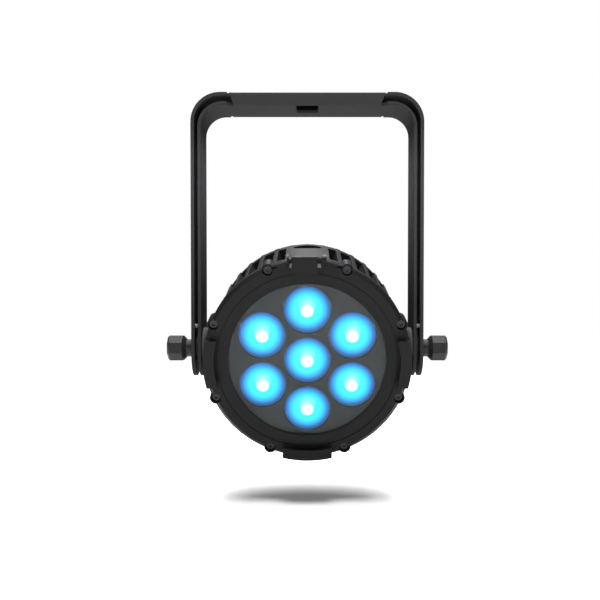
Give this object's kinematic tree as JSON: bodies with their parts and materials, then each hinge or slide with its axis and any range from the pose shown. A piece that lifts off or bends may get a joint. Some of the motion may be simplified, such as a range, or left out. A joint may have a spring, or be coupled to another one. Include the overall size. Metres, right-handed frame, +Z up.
{
  "type": "par can light",
  "caption": "Round stage wash light with seven lit lenses behind one glass, a vented ribbed drum, clamping knobs and a nested double yoke with a clamp hole.",
  "frame": {"origin": "clamp bolt's axis at the top face of the outer yoke", "axes": "+Z up along the clamp bolt, X along the pivot axis across the yoke, the lamp faces -Y and tips 16.5 degrees down at rest"},
  "size_m": [0.253, 0.1892, 0.3252],
  "materials": {
    "black_powder_coat": "fine textured matt black powder coat",
    "black_casting": "satin black paint on cast aluminium",
    "black_anodised": "black anodised",
    "black_plastic": "moulded, matt black",
    "white_nylon": "moulded, natural",
    "zinc_steel": "zinc plated",
    "black_steel": "black oxide",
    "friction_fibre": "pressed fibre",
    "brass": "machined",
    "black_rubber": "moulded",
    "clear_glass": "clear, polished",
    "grey_mask": "dark grey satin",
    "white_board": "white solder mask",
    "green_board": "green solder mask",
    "led_light": "lit LED",
    "lit_lens": "clear acrylic lit cyan-blue from behind",
    "grey_rubber": "silicone key",
    "blue_plastic": "moulded, blue",
    "pale_plastic": "moulded, pale grey"
  },
  "bodies": {
    "outer_yoke": {"outer_yoke": "black_powder_coat", "glide_pins": "white_nylon", "yoke_spacers": "black_plastic", "washers": "zinc_steel"},
    "inner_yoke": {"inner_yoke": "black_powder_coat"},
    "left_knob": {"left_knob": "black_plastic", "left_knob_stud": "zinc_steel"},
    "right_knob": {"right_knob": "black_plastic", "right_knob_stud": "zinc_steel"},
    "head": {"friction_discs": "friction_fibre", "trunnions": "brass", "front_flange": "black_casting", "drum_ribs": "black_casting", "top_pad": "black_casting", "side_bosses": "black_casting", "rear_ring": "black_casting", "heat_sink": "black_anodised", "heat_fins": "black_anodised", "rear_panel": "black_casting", "inlet_pins": "brass", "outlet_blocks": "black_plastic", "bezel_gasket": "black_rubber", "bezel": "black_casting", "front_glass": "clear_glass", "glass_gasket": "black_rubber", "lens_mask": "grey_mask", "bezel_screws": "black_steel", "left_clip": "black_casting", "right_clip": "black_casting", "bottom_clip": "black_casting", "clip_screws": "black_steel", "latch_pin": "zinc_steel", "latch_spring": "zinc_steel", "led_board": "white_board", "led_emitters": "led_light", "lens_holders": "black_plastic", "lenses": "lit_lens", "led_lead": "black_rubber", "chassis_plate": "zinc_steel", "rear_gasket": "black_rubber", "rear_cover": "black_casting", "rear_screws": "black_steel", "power_supply": "zinc_steel", "board_pillars": "brass", "control_board": "green_board", "display_module": "black_plastic", "display_window": "clear_glass", "power_inlet": "blue_plastic", "power_outlet": "pale_plastic", "data_inlet": "black_plastic", "data_outlet": "black_plastic", "socket_screws": "black_steel", "vent_plug": "black_plastic", "safety_eye": "black_powder_coat", "safety_screws": "black_steel"},
    "latch": {"latch": "black_casting"},
    "menu_button": {"menu_button": "grey_rubber"},
    "up_button": {"up_button": "grey_rubber"},
    "down_button": {"down_button": "grey_rubber"},
    "enter_button": {"enter_button": "grey_rubber"}
  },
  "joints": [
    {"name": "inner_yoke_swing", "type": "hinge", "parent": "outer_yoke", "child": "inner_yoke", "pos_m": [0, 0, -0.2254], "axis": [-1, 0, 0], "range_deg": [0, 100]},
    {"name": "head_tilt", "type": "hinge", "parent": "outer_yoke", "child": "head", "pos_m": [0, 0, -0.2254], "axis": [1, 0, 0], "range_deg": [-126.5, 93.5]},
    {"name": "left_knob_turn", "type": "hinge", "parent": "outer_yoke", "child": "left_knob", "pos_m": [-0.11, 0, -0.2254], "axis": [-1, 0, 0], "range_deg": [0, 180]},
    {"name": "right_knob_turn", "type": "hinge", "parent": "outer_yoke", "child": "right_knob", "pos_m": [0.11, 0, -0.2254], "axis": [1, 0, 0], "range_deg": [0, 180]},
    {"name": "latch_open", "type": "hinge", "parent": "head", "child": "latch", "pos_m": [0, -0.07117, -0.15272], "axis": [-1, 0, 0], "range_deg": [0, 80], "stiffness_Nm_per_rad": 0.05, "springref_deg": -34.38},
    {"name": "menu_button_press", "type": "slide", "parent": "head", "child": "menu_button", "axis": [0, -0.9588, -0.284], "range_m": [0, 0.001], "stiffness_N_per_m": 1200},
    {"name": "up_button_press", "type": "slide", "parent": "head", "child": "up_button", "axis": [0, -0.9588, -0.284], "range_m": [0, 0.001], "stiffness_N_per_m": 1200},
    {"name": "down_button_press", "type": "slide", "parent": "head", "child": "down_button", "axis": [0, -0.9588, -0.284], "range_m": [0, 0.001], "stiffness_N_per_m": 1200},
    {"name": "enter_button_press", "type": "slide", "parent": "head", "child": "enter_button", "axis": [0, -0.9588, -0.284], "range_m": [0, 0.001], "stiffness_N_per_m": 1200}
  ]
}
